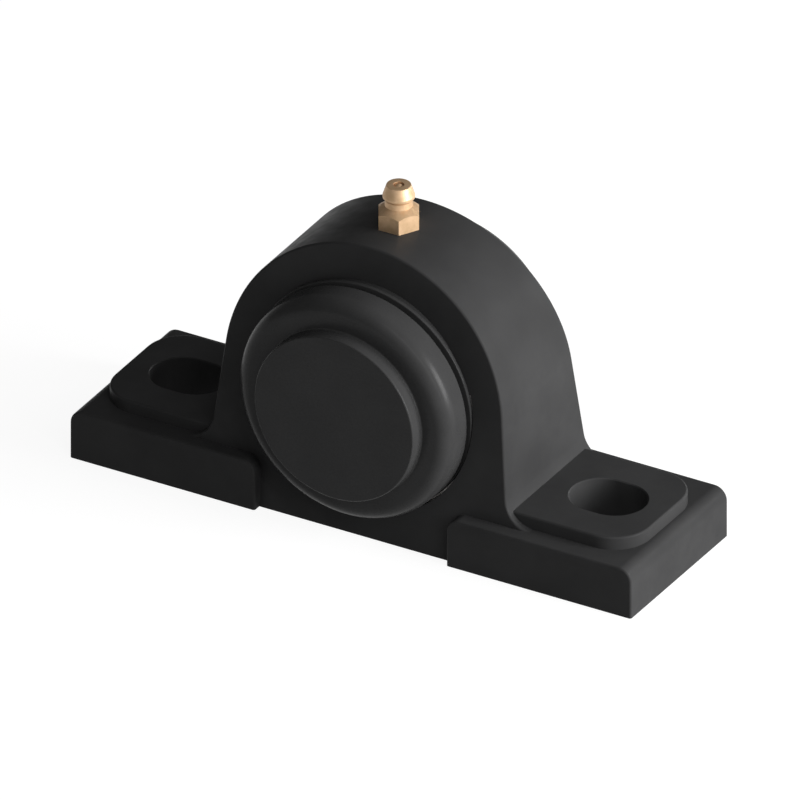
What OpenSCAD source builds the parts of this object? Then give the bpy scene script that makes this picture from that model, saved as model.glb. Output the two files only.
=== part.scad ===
// Two-bolt pillow block with a self-aligning ball bearing insert, all sizes in millimetres.
// The shaft axis runs along Y. The closed dust cover is at the front, towards -Y, and the shaft
// enters from the back, towards +Y. The base stands on the plane Z = 0.

/* [Base and feet] */
// Length of the base, from the end of one foot to the other
base_length = 127; // [124:0.5:132]
// Depth of the feet, front to back
foot_depth = 38; // [36:0.5:42]
// Height of the foot's top over the base
foot_height = 10.8; // [9:0.1:12]
// Distance from the middle of the base to each foot's inner end
foot_inner = 21.7; // [18:0.1:24]
// Rounding of each foot's upper edges, at its outer and inner ends
foot_edge_radius = 2.8; // [1:0.1:4]
// Height of the bolt pad's top over the base
pad_height = 13.6; // [12.5:0.1:14.5]
// Distance from the middle of the base to each pad's outer end
pad_reach = 60.5; // [58:0.1:61]
// Depth of the pad, front to back
pad_depth = 28.8; // [24:0.1:31]
// Rounding of the pad's two outer corners, seen from above
pad_corner_radius = 8; // [3:0.5:10]

/* [Bolt slots] */
// Distance between the two bolts
bolt_spacing = 95; // [93:0.5:97]
// Width of each slot
slot_width = 13; // [11:0.5:14]
// Length of each slot, end to end
slot_length = 16; // [14.5:0.5:18]

/* [Arch] */
// Height of the shaft axis over the base
shaft_height = 30.2; // [30:0.1:32]
// Radius of the arch round the shaft axis
arch_radius = 31.5; // [30:0.1:33]
// Slope of the arch's flanks from upright, in degrees
flank_slope = 6; // [3:0.5:8]
// Radius of the fillet between flank and foot
flank_fillet = 6; // [3:0.5:8]
// Distance from the middle to the arch's front face at the base
arch_half_depth = 17.1; // [16.5:0.1:18]
// How far the front and back faces lean in, per unit of height
face_lean = 0.1; // [0.09:0.005:0.11]

/* [Bearing insert] */
// Shaft bore
bore_d = 17; // [12:1:17]
// Diameter of the insert's spherical outside
insert_d = 47; // [47:1:47]
// Width of the outer ring
outer_ring_width = 17; // [16:0.5:17]
// Length of the inner ring
inner_ring_length = 31; // [30:0.5:32]
// Length of inner ring on the short side of the bearing's middle
inner_ring_short_side = 12.7; // [12:0.1:13.5]
// Outside diameter of the inner ring
inner_ring_d = 29; // [28.5:0.1:29.2]
// Diameter of the hole between the outer ring's shoulders
outer_shoulder_d = 39.4; // [39:0.1:39.8]
// Diameter of each ball
ball_d = 7.938; // [7.9:0.001:7.95]
// Number of balls
ball_count = 8; // [6:1:8]
// Diameter of the circle through the ball centres
pitch_d = 34; // [33.9:0.1:34.1]

/* [Set screws] */
// Thread diameter
screw_d = 5; // [4:0.5:6]
// Length of each set screw
screw_length = 5; // [4:0.5:5]
// Distance from the end of the inner ring to the screw's axis
screw_setback = 4.7; // [4:0.1:5.5]
// Angle between the two screws, seen along the shaft
screw_angle = 120; // [60:5:120]

/* [Dust covers] */
// Thickness of the pressed steel
cover_sheet = 0.8; // [0.6:0.1:1]
// Radius of the cover's rim
cover_rim_radius = 24.3; // [24:0.1:24.4]
// Radius of the rounded shoulder, outside
cover_shoulder_radius = 3.3; // [2.5:0.1:3.6]
// Distance from the bearing's middle to the flat ring of the cover
cover_reach = 22.35; // [22:0.05:23]
// Radius of the raised disc in the middle of the closed cover
boss_radius = 18; // [16:0.1:19]
// Height of that disc over the flat ring
boss_height = 3.25; // [2:0.05:4]
// Radius of the cover's flange against the housing
flange_radius = 24.6; // [24.5:0.1:25]
// Hole in the open cover
open_cover_hole_d = 26.8; // [24:0.1:30]

/* [Grease fitting] */
// Width across the flats of the hexagon
hex_flats = 7.94; // [7:0.01:8]
// Largest diameter of the head
head_d = 6.4; // [6:0.1:6.6]
// Height of the fitting's top over the base
fitting_top = 70.6; // [70:0.1:72]
// Diameter of the ball that closes the fitting
check_ball_d = 2.5; // [2.4:0.1:2.5]

/* [Hidden] */
$fn = 96;

cast_black = [0.10, 0.10, 0.105];
cover_black = [0.07, 0.07, 0.075];
brass_gold = [0.80, 0.62, 0.40];
ring_steel = [0.66, 0.67, 0.69];
ball_steel = [0.80, 0.81, 0.83];
cage_steel = [0.58, 0.57, 0.54];
zinc_steel = [0.62, 0.63, 0.62];
black_oxide = [0.16, 0.16, 0.17];
seal_rubber = [0.09, 0.09, 0.09];

// extra length of a cutter past the face that it cuts, and size of one that clears everything
over = 1;
clear = 60;
// gap between pieces that are pressed or clipped together
snug = 0.02;

// pockets cored in the underside, one on each side of the wall round the seat
pocket_start = 12;
pocket_end = 28.5;
pocket_half_depth = 11.5;
pocket_corner_radius = 3;
pocket_height = 14;
seat_wall = 6;

// spherical seat in the housing, and the grease groove turned in it
insert_radius = insert_d / 2;
seat_gap = 0.03;
seat_half_width = 9.5;
seat_groove_depth = 0.8;
seat_groove_front = -1.5;
seat_groove_back = 5.7;
seat_groove_width = seat_groove_back - seat_groove_front;
// slots behind the seat through which the insert is slid in on edge and then turned
loading_gap = 0.25;
loading_slot_height = outer_ring_width + 2 * loading_gap;

// the covers' rolled neck, their flange and the skirt that is pressed into the housing
cover_fold_gap = 1.1;
cover_neck_radius = 23;
cover_skirt_radius = 22.9;
skirt_inner_radius = cover_skirt_radius - cover_sheet;

// mouths of the housing, where the covers are pressed in
mouth_gap = 0.1;
mouth_radius = cover_skirt_radius + mouth_gap;
flange_front = 14.25;
flange_back = flange_front - cover_sheet;
spot_gap = 0.25;
land_radius = 24;
bead_height = 0.3;
bead_middle = 12;
bead_half_width = 0.45;
skirt_end = 10.4;

// rubber ring of the open cover
rubber_web = 1.2;
rubber_web_height = 1;
rubber_grip = 1.3;
rubber_wall = 0.8;
rubber_lean = 1;
shaft_lip_play = 0.1;
shaft_lip_width = 0.6;
shaft_lip_radius = bore_d / 2 + shaft_lip_play;

// grease fitting, the flat spot that it stands on and its hole
spot_face_depth = 0.1;
spot_face_radius = 4.8;
fitting_base = shaft_height + arch_radius - spot_face_depth;
stem_radius = 3;
stem_length = 5.5;
passage_radius = 1.5;
hex_height = 4.5;
hex_slope = 1.3;
hex_top = fitting_base + hex_height;
neck_bottom_radius = 2.8;
neck_top_radius = 2.7;
neck_top = 67.4;
head_widest = 67.9;
head_land = 0.5;
head_top_radius = 2.45;

// inside of the grease fitting: the chamber, the ball that closes it and the ball's spring
outlet_radius = 0.8;
chamber_radius = 1.4;
chamber_floor = 58;
orifice_radius = 1.1;
orifice_depth = 0.6;
check_ball_radius = check_ball_d / 2;
check_ball_play = 0.03;
check_ball_z = fitting_top - orifice_depth - check_ball_play
    - sqrt(pow(check_ball_radius, 2) - pow(orifice_radius, 2));
spring_turns = 9;
spring_steps = 12;
spring_sides = 6;
spring_wire = 0.15;
spring_radius = 0.85;
spring_low = chamber_floor + spring_wire + snug;
spring_high = check_ball_z - snug
    - sqrt(pow(check_ball_radius + spring_wire, 2) - pow(spring_radius, 2));
spring_rings = spring_turns * spring_steps;

// raceways: groove radii as shares of the ball diameter, and the play between ball and groove
ball_radius = ball_d / 2;
pitch_radius = pitch_d / 2;
race_play = 0.05;
inner_groove_share = 0.515;
outer_groove_share = 0.525;
inner_groove = inner_groove_share * ball_d;
outer_groove = outer_groove_share * ball_d;
inner_ring_radius = inner_ring_d / 2;
outer_half_width = outer_ring_width / 2;
inner_ring_long_side = inner_ring_length - inner_ring_short_side;
ring_chamfer = 0.5;

// lubrication groove and holes in the outer ring, off the raceway towards the back
ring_groove_middle = 4.6;
ring_groove_half_width = 1;
ring_groove_depth = 0.6;
ring_hole_radius = 0.75;

// pin in the outer ring, on the +X side
pin_radius = 0.75;
pin_place = 6.3;
pin_root = 21.4;
pin_tip = 23.4;

// seals: seats in the outer ring, plate and rubber lip, then the slinger on the inner ring
seal_groove_radius = 20.7;
seal_groove_inside = 6.1;
seal_groove_outside = 7.25;
slinger_mouth_radius = 20.2;
plate_outer_radius = 20.45;
plate_inner_radius = 15.9;
plate_thickness = 0.3;
plate_inside = 6.3;
seal_rubber_thickness = 0.45;
seal_rim_setback = 0.3;
lip_play = 0.06;
lip_edge = 0.35;
lip_root = 0.6;
slinger_sheet = 0.45;
slinger_inside = 7.5;
slinger_end = 9.3;
slinger_radius = 19.2;

// cage
cage_sheet = 0.6;
cage_inner_radius = 15.3;
cage_outer_radius = 18.7;
pocket_play = 0.1;
pocket_radius = ball_radius + pocket_play;
rivet_radius = 0.55;
rivet_head_radius = 0.95;
rivet_head_height = 0.35;
ball_step = 360 / ball_count;

// set screws
screw_tip_setback = 0.15;
screw_tip_radius = bore_d / 2 + screw_tip_setback;
screw_socket_flats = 2.5;
screw_socket_depth = 2.2;
screw_play = 0.02;
screw_place = inner_ring_long_side - screw_setback;
screw_angles = [90, 90 - screw_angle];

// Places what is drawn round the local z axis on the shaft axis. Local z points to the front.
module on_shaft() {
    translate([0, 0, shaft_height]) rotate([90, 0, 0]) children();
}

// The same, with local z pointing to the back.
module on_shaft_back() {
    mirror([0, 1, 0]) on_shaft() children();
}

// A flat ring round the local z axis, from z = low to z = high.
module tube(outer, inner, low, high) {
    translate([0, 0, low]) difference() {
        cylinder(r = outer, h = high - low);
        translate([0, 0, -over]) cylinder(r = inner, h = high - low + 2 * over);
    }
}

// A hexagonal bar with its corners on the local x axis.
module hex_bar(flats, height) {
    cylinder(r = flats / 2 / cos(30), h = height, $fn = 6);
}

// Outline of the arch in X and Z: a round top, sloping flanks and a fillet on each foot.
module arch_outline() {
    touch_x = arch_radius * cos(flank_slope);
    touch_z = shaft_height + arch_radius * sin(flank_slope);
    flank_x = touch_x + (touch_z - foot_height) * tan(flank_slope);
    fillet_z = foot_height + flank_fillet;
    fillet_x = (arch_radius + flank_fillet - (fillet_z - shaft_height) * sin(flank_slope))
        / cos(flank_slope);
    top_x = fillet_x - flank_fillet * cos(flank_slope);
    top_z = fillet_z - flank_fillet * sin(flank_slope);
    translate([0, shaft_height]) circle(r = arch_radius, $fn = 160);
    polygon([
        [-flank_x, 0], [flank_x, 0], [flank_x, foot_height], [touch_x, touch_z],
        [-touch_x, touch_z], [-flank_x, foot_height]
    ]);
    for (side = [0, 1]) mirror([side, 0]) difference() {
        polygon([
            [flank_x - over, foot_height - over], [fillet_x, foot_height - over],
            [fillet_x, foot_height], [top_x, top_z], [top_x - over, top_z]
        ]);
        translate([fillet_x, fillet_z]) circle(r = flank_fillet);
    }
}

// The arch: its outline drawn through from front to back, between two faces that lean in.
module arch() {
    top = shaft_height + arch_radius + over;
    intersection() {
        rotate([90, 0, 0]) linear_extrude(height = foot_depth, center = true) arch_outline();
        rotate([90, 0, 90]) linear_extrude(height = base_length, center = true) polygon([
            [-arch_half_depth, 0], [arch_half_depth, 0],
            [arch_half_depth - face_lean * top, top], [face_lean * top - arch_half_depth, top]
        ]);
    }
}

// One foot on the +X side: a bar whose two upper end edges are rounded, and the bolt pad on it.
module foot() {
    length = base_length / 2 - foot_inner;
    translate([foot_inner, 0, 0]) rotate([90, 0, 0])
        linear_extrude(height = foot_depth, center = true) {
            square([length, foot_height - foot_edge_radius]);
            translate([foot_edge_radius, 0])
                square([length - 2 * foot_edge_radius, foot_height]);
            for (x = [foot_edge_radius, length - foot_edge_radius])
                translate([x, foot_height - foot_edge_radius]) circle(r = foot_edge_radius);
        }
    linear_extrude(height = pad_height) {
        translate([arch_radius - over, -pad_depth / 2])
            square([pad_reach - pad_corner_radius - arch_radius + over, pad_depth]);
        rounded_area(arch_radius - over, pad_reach, pad_depth / 2, pad_corner_radius);
    }
}

// A flat area from x = low to x = high, with rounded corners, as far to the front as to the back.
module rounded_area(low, high, half, radius) {
    translate([low + radius, -half]) square([high - low - 2 * radius, 2 * half]);
    translate([low, radius - half]) square([high - low, 2 * (half - radius)]);
    for (x = [low + radius, high - radius], side = [-1, 1])
        translate([x, side * (half - radius)]) circle(r = radius);
}

// A pocket in the underside, on the +X side. It leaves a wall of even thickness round the seat.
module pocket() {
    difference() {
        translate([0, 0, -over]) linear_extrude(height = pocket_height + over)
            rounded_area(pocket_start, pocket_end, pocket_half_depth, pocket_corner_radius);
        on_shaft() cylinder(r = insert_radius + seat_wall, h = clear, center = true);
    }
}

// The slot for one bolt, right through the foot and its pad.
module bolt_slot() {
    straight = slot_length - slot_width;
    translate([bolt_spacing / 2, 0, -over]) {
        for (side = [-1, 1])
            translate([side * straight / 2, 0, 0])
                cylinder(r = slot_width / 2, h = pad_height + 2 * over);
        translate([-straight / 2, -slot_width / 2, 0])
            cube([straight, slot_width, pad_height + 2 * over]);
    }
}

// What is turned out of one side of the housing, for a cover: the mouth that takes the skirt,
// the flat spot under the flange, and the groove that the skirt's bead snaps into.
module cover_mouth() {
    deep = arch_half_depth + over;
    translate([0, 0, seat_half_width]) cylinder(r = mouth_radius, h = deep - seat_half_width);
    translate([0, 0, flange_back])
        cylinder(r = flange_radius + spot_gap, h = deep - flange_back);
    tube(mouth_radius + bead_height + mouth_gap, mouth_radius - over,
        bead_middle - bead_half_width - mouth_gap, bead_middle + bead_half_width + mouth_gap);
}

module housing() {
    color(cast_black) difference() {
        union() {
            arch();
            for (side = [0, 1]) mirror([side, 0, 0]) foot();
            on_shaft() cylinder(r = land_radius, h = flange_back);
            on_shaft_back() cylinder(r = land_radius, h = flange_back);
        }
        for (side = [0, 1]) mirror([side, 0, 0]) {
            bolt_slot();
            pocket();
        }
        on_shaft() cover_mouth();
        on_shaft_back() cover_mouth();
        on_shaft() sphere(r = insert_radius + seat_gap);
        on_shaft_back() translate([0, 0, seat_groove_front])
            cylinder(r = insert_radius + seat_groove_depth, h = seat_groove_width);
        on_shaft_back() intersection() {
            cylinder(r = insert_radius + seat_gap, h = seat_half_width + over);
            translate([-clear / 2, -loading_slot_height / 2, 0])
                cube([clear, loading_slot_height, seat_half_width + over]);
        }
        translate([0, 0, fitting_base]) cylinder(r = spot_face_radius, h = over);
        translate([0, 0, fitting_base - stem_length - mouth_gap])
            cylinder(r = stem_radius + snug, h = stem_length + over);
        translate([0, 0, shaft_height + insert_radius])
            cylinder(r = passage_radius, h = arch_radius - insert_radius);
    }
}

// Solid form of a cover in front of its neck, with every outside face moved in by inset. The
// bottom is moved down by below.
module cover_form(inset, below, disc) {
    shoulder_r = cover_rim_radius - cover_shoulder_radius;
    shoulder_z = cover_reach - cover_shoulder_radius;
    floor = flange_front + cover_fold_gap - below;
    translate([0, 0, floor]) cylinder(r = cover_rim_radius - inset, h = shoulder_z - floor);
    translate([0, 0, floor]) cylinder(r = shoulder_r, h = cover_reach - inset - floor);
    rotate_extrude() translate([shoulder_r, shoulder_z])
        circle(r = cover_shoulder_radius - inset);
    if (disc)
        translate([0, 0, floor])
            cylinder(r = boss_radius - inset, h = cover_reach + boss_height - inset - floor);
}

// The rear part of a cover's half section: rolled neck, flange, skirt and the bead on the skirt.
module cover_seat_section() {
    fold = flange_front + cover_fold_gap;
    translate([skirt_inner_radius, fold])
        square([cover_rim_radius - skirt_inner_radius, cover_sheet]);
    translate([skirt_inner_radius, flange_back])
        square([cover_neck_radius - skirt_inner_radius, fold + cover_sheet - flange_back]);
    translate([skirt_inner_radius, flange_back])
        square([flange_radius - skirt_inner_radius, cover_sheet]);
    translate([skirt_inner_radius, skirt_end]) square([cover_sheet, flange_back - skirt_end]);
    polygon([
        [cover_skirt_radius - snug, bead_middle - bead_half_width],
        [cover_skirt_radius + bead_height, bead_middle],
        [cover_skirt_radius - snug, bead_middle + bead_half_width]
    ]);
}

// The pressed sheet. The cover with a disc is closed, and the other has a hole for the shaft.
module cover(disc) {
    difference() {
        cover_form(0, 0, disc);
        cover_form(cover_sheet, over, disc);
        if (!disc) cylinder(r = open_cover_hole_d / 2, h = cover_reach + over);
    }
    rotate_extrude() cover_seat_section();
}

module closed_cover() {
    color(cover_black) on_shaft() cover(true);
}

module open_cover() {
    color(cover_black) on_shaft_back() cover(false);
}

// Rubber ring that grips the edge of the open cover's hole, with a lip that leans outwards and
// runs on the shaft.
module open_cover_seal() {
    hole = open_cover_hole_d / 2;
    root = hole - rubber_web;
    rim = hole + rubber_grip;
    outside = cover_reach + rubber_wall;
    inside = cover_reach - cover_sheet - rubber_wall;
    tip = outside + rubber_lean;
    color(seal_rubber) on_shaft_back() rotate_extrude() difference() {
        polygon([
            [root, inside], [rim, inside], [rim, outside], [root, outside],
            [shaft_lip_radius + shaft_lip_width, tip], [shaft_lip_radius, tip],
            [shaft_lip_radius, tip - shaft_lip_width], [root, outside - rubber_web_height]
        ]);
        translate([hole - snug, cover_reach - cover_sheet - snug])
            square([rubber_grip + over, cover_sheet + 2 * snug]);
    }
}

module outer_ring() {
    race_centre = pitch_radius + ball_radius + race_play - outer_groove;
    color(ring_steel) on_shaft() difference() {
        intersection() {
            sphere(r = insert_radius, $fn = 128);
            cylinder(r = clear, h = outer_ring_width, center = true);
        }
        cylinder(r = outer_shoulder_d / 2, h = clear, center = true);
        rotate_extrude() translate([race_centre, 0]) circle(r = outer_groove);
        for (side = [0, 1]) mirror([0, 0, side]) {
            translate([0, 0, seal_groove_inside])
                cylinder(r = seal_groove_radius, h = seal_groove_outside - seal_groove_inside);
            translate([0, 0, seal_groove_inside]) cylinder(r = slinger_mouth_radius, h = clear);
        }
        groove_floor = sqrt(pow(insert_radius, 2) - pow(ring_groove_middle, 2))
            - ring_groove_depth;
        tube(clear, groove_floor, -ring_groove_middle - ring_groove_half_width,
            ring_groove_half_width - ring_groove_middle);
        for (angle = [90, 270]) rotate([0, 0, angle]) translate([0, 0, -ring_groove_middle])
            rotate([0, 90, 0]) cylinder(r = ring_hole_radius, h = clear);
        translate([pin_root, 0, -pin_place]) rotate([0, 90, 0])
            cylinder(r = pin_radius + snug, h = clear);
    }
}

// Pin pressed into the outer ring. Its end stands in a loading slot of the seat, so the ring can
// tilt but not turn.
module locating_pin() {
    color(ring_steel) on_shaft() translate([pin_root + snug, 0, -pin_place])
        rotate([0, 90, 0]) cylinder(r = pin_radius, h = pin_tip - pin_root - snug, $fn = 32);
}

// Steel plate of a seal, snapped into the outer ring's groove.
module seal_plate() {
    color(zinc_steel)
        tube(plate_outer_radius, plate_inner_radius, plate_inside, plate_inside + plate_thickness);
}
module front_seal_plate() {
    on_shaft() seal_plate();
}
module rear_seal_plate() {
    on_shaft_back() seal_plate();
}

// Rubber of a seal, on the outside of its plate, with a lip that runs on the inner ring.
module seal_lip() {
    face = plate_inside + plate_thickness;
    rim = plate_outer_radius - seal_rim_setback;
    back = plate_inner_radius - snug;
    lip = inner_ring_radius + lip_play;
    color(seal_rubber) rotate_extrude() polygon([
        [rim, face], [back, face], [back, plate_inside], [lip, plate_inside - lip_edge],
        [lip, plate_inside], [back - lip_root, face + seal_rubber_thickness / 2],
        [back, face + seal_rubber_thickness], [rim, face + seal_rubber_thickness]
    ]);
}
module front_seal_lip() {
    on_shaft() seal_lip();
}
module rear_seal_lip() {
    on_shaft_back() seal_lip();
}

module inner_ring() {
    race_centre = pitch_radius - ball_radius - race_play + inner_groove;
    low = -inner_ring_short_side;
    high = inner_ring_long_side;
    bore_radius = bore_d / 2;
    color(ring_steel) on_shaft() difference() {
        union() {
            translate([0, 0, low + ring_chamfer])
                cylinder(r = inner_ring_radius, h = inner_ring_length - 2 * ring_chamfer);
            translate([0, 0, low]) cylinder(
                r1 = inner_ring_radius - ring_chamfer, r2 = inner_ring_radius, h = ring_chamfer);
            translate([0, 0, high - ring_chamfer]) cylinder(
                r1 = inner_ring_radius, r2 = inner_ring_radius - ring_chamfer, h = ring_chamfer);
        }
        translate([0, 0, low - over]) cylinder(r = bore_radius, h = inner_ring_length + 2 * over);
        translate([0, 0, low - over]) cylinder(
            r1 = bore_radius + ring_chamfer + over, r2 = bore_radius, h = ring_chamfer + over);
        translate([0, 0, high - ring_chamfer]) cylinder(
            r1 = bore_radius, r2 = bore_radius + ring_chamfer + over, h = ring_chamfer + over);
        rotate_extrude() translate([race_centre, 0]) circle(r = inner_groove);
        for (angle = screw_angles) rotate([0, 0, angle]) translate([0, 0, screw_place])
            rotate([0, 90, 0]) cylinder(r = screw_d / 2, h = clear);
    }
}

// Pressed steel disc on the inner ring, which throws dirt and water off outside the seal.
module slinger() {
    hub_radius = inner_ring_radius + snug;
    color(zinc_steel) {
        tube(hub_radius + slinger_sheet, hub_radius, slinger_inside, slinger_end);
        tube(slinger_radius, hub_radius + slinger_sheet / 2,
            slinger_inside, slinger_inside + slinger_sheet);
    }
}
module front_slinger() {
    on_shaft() slinger();
}
module rear_slinger() {
    on_shaft_back() slinger();
}

// Socket set screw with a cup point, in the inner ring.
module set_screw(angle) {
    color(black_oxide) on_shaft() rotate([0, 0, angle]) translate([0, 0, screw_place])
        rotate([0, 90, 0]) translate([0, 0, screw_tip_radius]) difference() {
            cylinder(r = screw_d / 2 - screw_play, h = screw_length);
            translate([0, 0, screw_length - screw_socket_depth])
                hex_bar(screw_socket_flats, screw_socket_depth + over);
            translate([0, 0, -over]) cylinder(r1 = screw_d / 2, r2 = 0, h = screw_d / 2);
        }
}
module set_screw_1() {
    set_screw(screw_angles[0]);
}
module set_screw_2() {
    set_screw(screw_angles[1]);
}

// Places something at each ball, or halfway between the balls.
module at_balls(turn) {
    for (n = [0 : ball_count - 1])
        rotate([0, 0, 90 + turn + n * ball_step]) translate([pitch_radius, 0, 0]) children();
}

// Half of the pressed steel cage: a flat ring with a round pocket over each ball.
module cage_half() {
    pocket_outside = pocket_radius + cage_sheet;
    color(cage_steel) difference() {
        intersection() {
            tube(cage_outer_radius, cage_inner_radius, 0, pocket_outside + over);
            union() {
                cylinder(r = cage_outer_radius + over, h = cage_sheet);
                at_balls(0) sphere(r = pocket_outside, $fn = 64);
            }
        }
        at_balls(0) sphere(r = pocket_radius, $fn = 64);
        at_balls(ball_step / 2) translate([0, 0, -over])
            cylinder(r = rivet_radius + snug, h = cage_sheet + 2 * over, $fn = 32);
    }
}
module cage_front_half() {
    on_shaft() cage_half();
}
module cage_rear_half() {
    on_shaft_back() cage_half();
}

module cage_rivets() {
    color(cage_steel) on_shaft() at_balls(ball_step / 2) {
        cylinder(r = rivet_radius, h = 2 * cage_sheet, center = true, $fn = 32);
        for (side = [0, 1]) mirror([0, 0, side])
            translate([0, 0, cage_sheet]) cylinder(
                r1 = rivet_head_radius, r2 = rivet_radius, h = rivet_head_height, $fn = 32);
    }
}

module ball(number) {
    color(ball_steel) on_shaft() rotate([0, 0, 90 + (number - 1) * ball_step])
        translate([pitch_radius, 0, 0]) sphere(r = ball_radius, $fn = 64);
}

module grease_fitting() {
    color(brass_gold) difference() {
        union() {
            translate([0, 0, fitting_base - stem_length])
                cylinder(r = stem_radius, h = stem_length + over);
            intersection() {
                translate([0, 0, fitting_base]) hex_bar(hex_flats, hex_height);
                translate([0, 0, fitting_base]) cylinder(
                    r1 = neck_bottom_radius + hex_slope * hex_height, r2 = neck_bottom_radius,
                    h = hex_height);
            }
            translate([0, 0, hex_top - over]) cylinder(
                r1 = neck_bottom_radius, r2 = neck_top_radius, h = neck_top - hex_top + over);
            translate([0, 0, neck_top]) cylinder(
                r1 = neck_top_radius, r2 = head_d / 2, h = head_widest - neck_top);
            translate([0, 0, head_widest]) cylinder(r = head_d / 2, h = head_land);
            translate([0, 0, head_widest + head_land]) cylinder(
                r1 = head_d / 2, r2 = head_top_radius, h = fitting_top - head_widest - head_land);
        }
        translate([0, 0, chamber_floor - clear]) cylinder(r = outlet_radius, h = clear + over);
        translate([0, 0, chamber_floor])
            cylinder(r = chamber_radius, h = check_ball_z - chamber_floor);
        translate([0, 0, check_ball_z]) cylinder(r1 = chamber_radius, r2 = orifice_radius,
            h = fitting_top - orifice_depth - check_ball_z);
        translate([0, 0, check_ball_z]) cylinder(r = orifice_radius, h = clear);
    }
}

module grease_check_ball() {
    color(ball_steel) translate([0, 0, check_ball_z]) sphere(r = check_ball_radius, $fn = 48);
}

// A point of the spring: a helix of round wire, swept ring by ring.
function spring_point(ring, side) =
    let (
        turn = 360 * ring / spring_steps,
        around = 360 * side / spring_sides,
        radius = spring_radius + spring_wire * cos(around),
        height = spring_low + (spring_high - spring_low) * ring / spring_rings
    )
    [radius * cos(turn), radius * sin(turn), height + spring_wire * sin(around)];

module grease_check_spring() {
    points = [
        for (ring = [0 : spring_rings], side = [0 : spring_sides - 1]) spring_point(ring, side)
    ];
    walls = [
        for (ring = [0 : spring_rings - 1], side = [0 : spring_sides - 1])
            let (
                next = (side + 1) % spring_sides,
                here = ring * spring_sides,
                there = here + spring_sides
            )
            [here + side, there + side, there + next, here + next]
    ];
    start = [for (side = [0 : spring_sides - 1]) side];
    finish = [for (side = [spring_sides - 1 : -1 : 0]) spring_rings * spring_sides + side];
    color(ring_steel) polyhedron(points = points, faces = concat([start], walls, [finish]));
}

housing();
closed_cover();
open_cover();
open_cover_seal();
outer_ring();
locating_pin();
front_seal_plate();
front_seal_lip();
rear_seal_plate();
rear_seal_lip();
inner_ring();
front_slinger();
rear_slinger();
set_screw_1();
set_screw_2();
cage_front_half();
cage_rear_half();
cage_rivets();
ball(1);  // ball_1
ball(2);  // ball_2
ball(3);  // ball_3
ball(4);  // ball_4
ball(5);  // ball_5
ball(6);  // ball_6
ball(7);  // ball_7
ball(8);  // ball_8
grease_fitting();
grease_check_ball();
grease_check_spring();
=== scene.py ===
import math

import bmesh
import bpy
from mathutils import Matrix, Vector


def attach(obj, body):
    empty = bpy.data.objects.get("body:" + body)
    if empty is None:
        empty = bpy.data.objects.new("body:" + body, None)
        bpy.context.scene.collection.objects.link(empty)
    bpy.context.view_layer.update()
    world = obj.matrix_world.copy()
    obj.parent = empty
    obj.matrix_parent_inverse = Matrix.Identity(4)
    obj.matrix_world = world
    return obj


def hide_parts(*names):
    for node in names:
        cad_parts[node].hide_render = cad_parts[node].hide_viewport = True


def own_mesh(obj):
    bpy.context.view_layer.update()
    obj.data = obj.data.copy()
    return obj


# A two-bolt pillow block with a self-aligning ball bearing insert. The shaft's axis runs along Y,
# the closed cover is at the front, towards -Y, and the base stands on the plane Z = 0. Sizes of
# the pieces are in millimetres, and become metres when a piece is finished.
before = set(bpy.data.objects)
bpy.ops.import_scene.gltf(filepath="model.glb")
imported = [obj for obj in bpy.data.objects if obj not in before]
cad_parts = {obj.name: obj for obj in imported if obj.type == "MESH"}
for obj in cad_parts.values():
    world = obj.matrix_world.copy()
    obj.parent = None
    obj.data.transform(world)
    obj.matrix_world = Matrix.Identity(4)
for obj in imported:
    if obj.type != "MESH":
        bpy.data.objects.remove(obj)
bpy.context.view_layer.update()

# Camera: 30 degrees round to the right of the shaft's line and 30 degrees above the floor, with
# no perspective, as the picture was drawn. The picture is 156.84 mm wide at the object.
VIEW_TURN = math.radians(30)
VIEW_RISE = math.radians(30)
VIEW_WIDTH = 0.15684
VIEW_MIDDLE = Vector((-0.00451, 0.00829, 0.01634))
VIEW_DISTANCE = 0.6

to_camera = Vector((
    math.cos(VIEW_RISE) * math.sin(VIEW_TURN),
    -math.cos(VIEW_RISE) * math.cos(VIEW_TURN),
    math.sin(VIEW_RISE),
))
lens = bpy.data.cameras.new("camera")
lens.type = "ORTHO"
lens.ortho_scale = VIEW_WIDTH
camera = bpy.data.objects.new("camera", lens)
camera.location = VIEW_MIDDLE + VIEW_DISTANCE * to_camera
camera.rotation_euler = to_camera.to_track_quat("Z", "Y").to_euler()
bpy.context.scene.collection.objects.link(camera)
bpy.context.scene.camera = camera
bpy.context.scene.view_settings.view_transform = "Standard"

# Light and floor: a room that is bright on the right and dim on the left, a large soft lamp on the
# right, and weaker ones in front and behind. The floor shows white to the camera and in
# reflections, and keeps the object's shadow.
ROOM_SIDE = (0.90, -0.10, 0.42)
ROOM_DIM = 0.10
ROOM_BRIGHT = 0.28
WHITE = (1.0, 1.0, 1.0, 1.0)
LIT_PLACE = (0.0, 0.0, 0.03)
FLOOR_SIZE = 6.0
FLOOR_PALE = (0.22, 0.22, 0.22, 1.0)
FLOOR_LIFT = 0.90


def seen_directly(nodes, links):
    """1 for what the camera sees, also in a reflection or through glass, and 0 for other light."""
    path = nodes.new("ShaderNodeLightPath")
    total = path.outputs["Is Camera Ray"]
    for name in ("Is Glossy Ray", "Is Transmission Ray"):
        larger = nodes.new("ShaderNodeMath")
        larger.operation = "MAXIMUM"
        links.new(total, larger.inputs[0])
        links.new(path.outputs[name], larger.inputs[1])
        total = larger.outputs[0]
    return total


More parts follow.
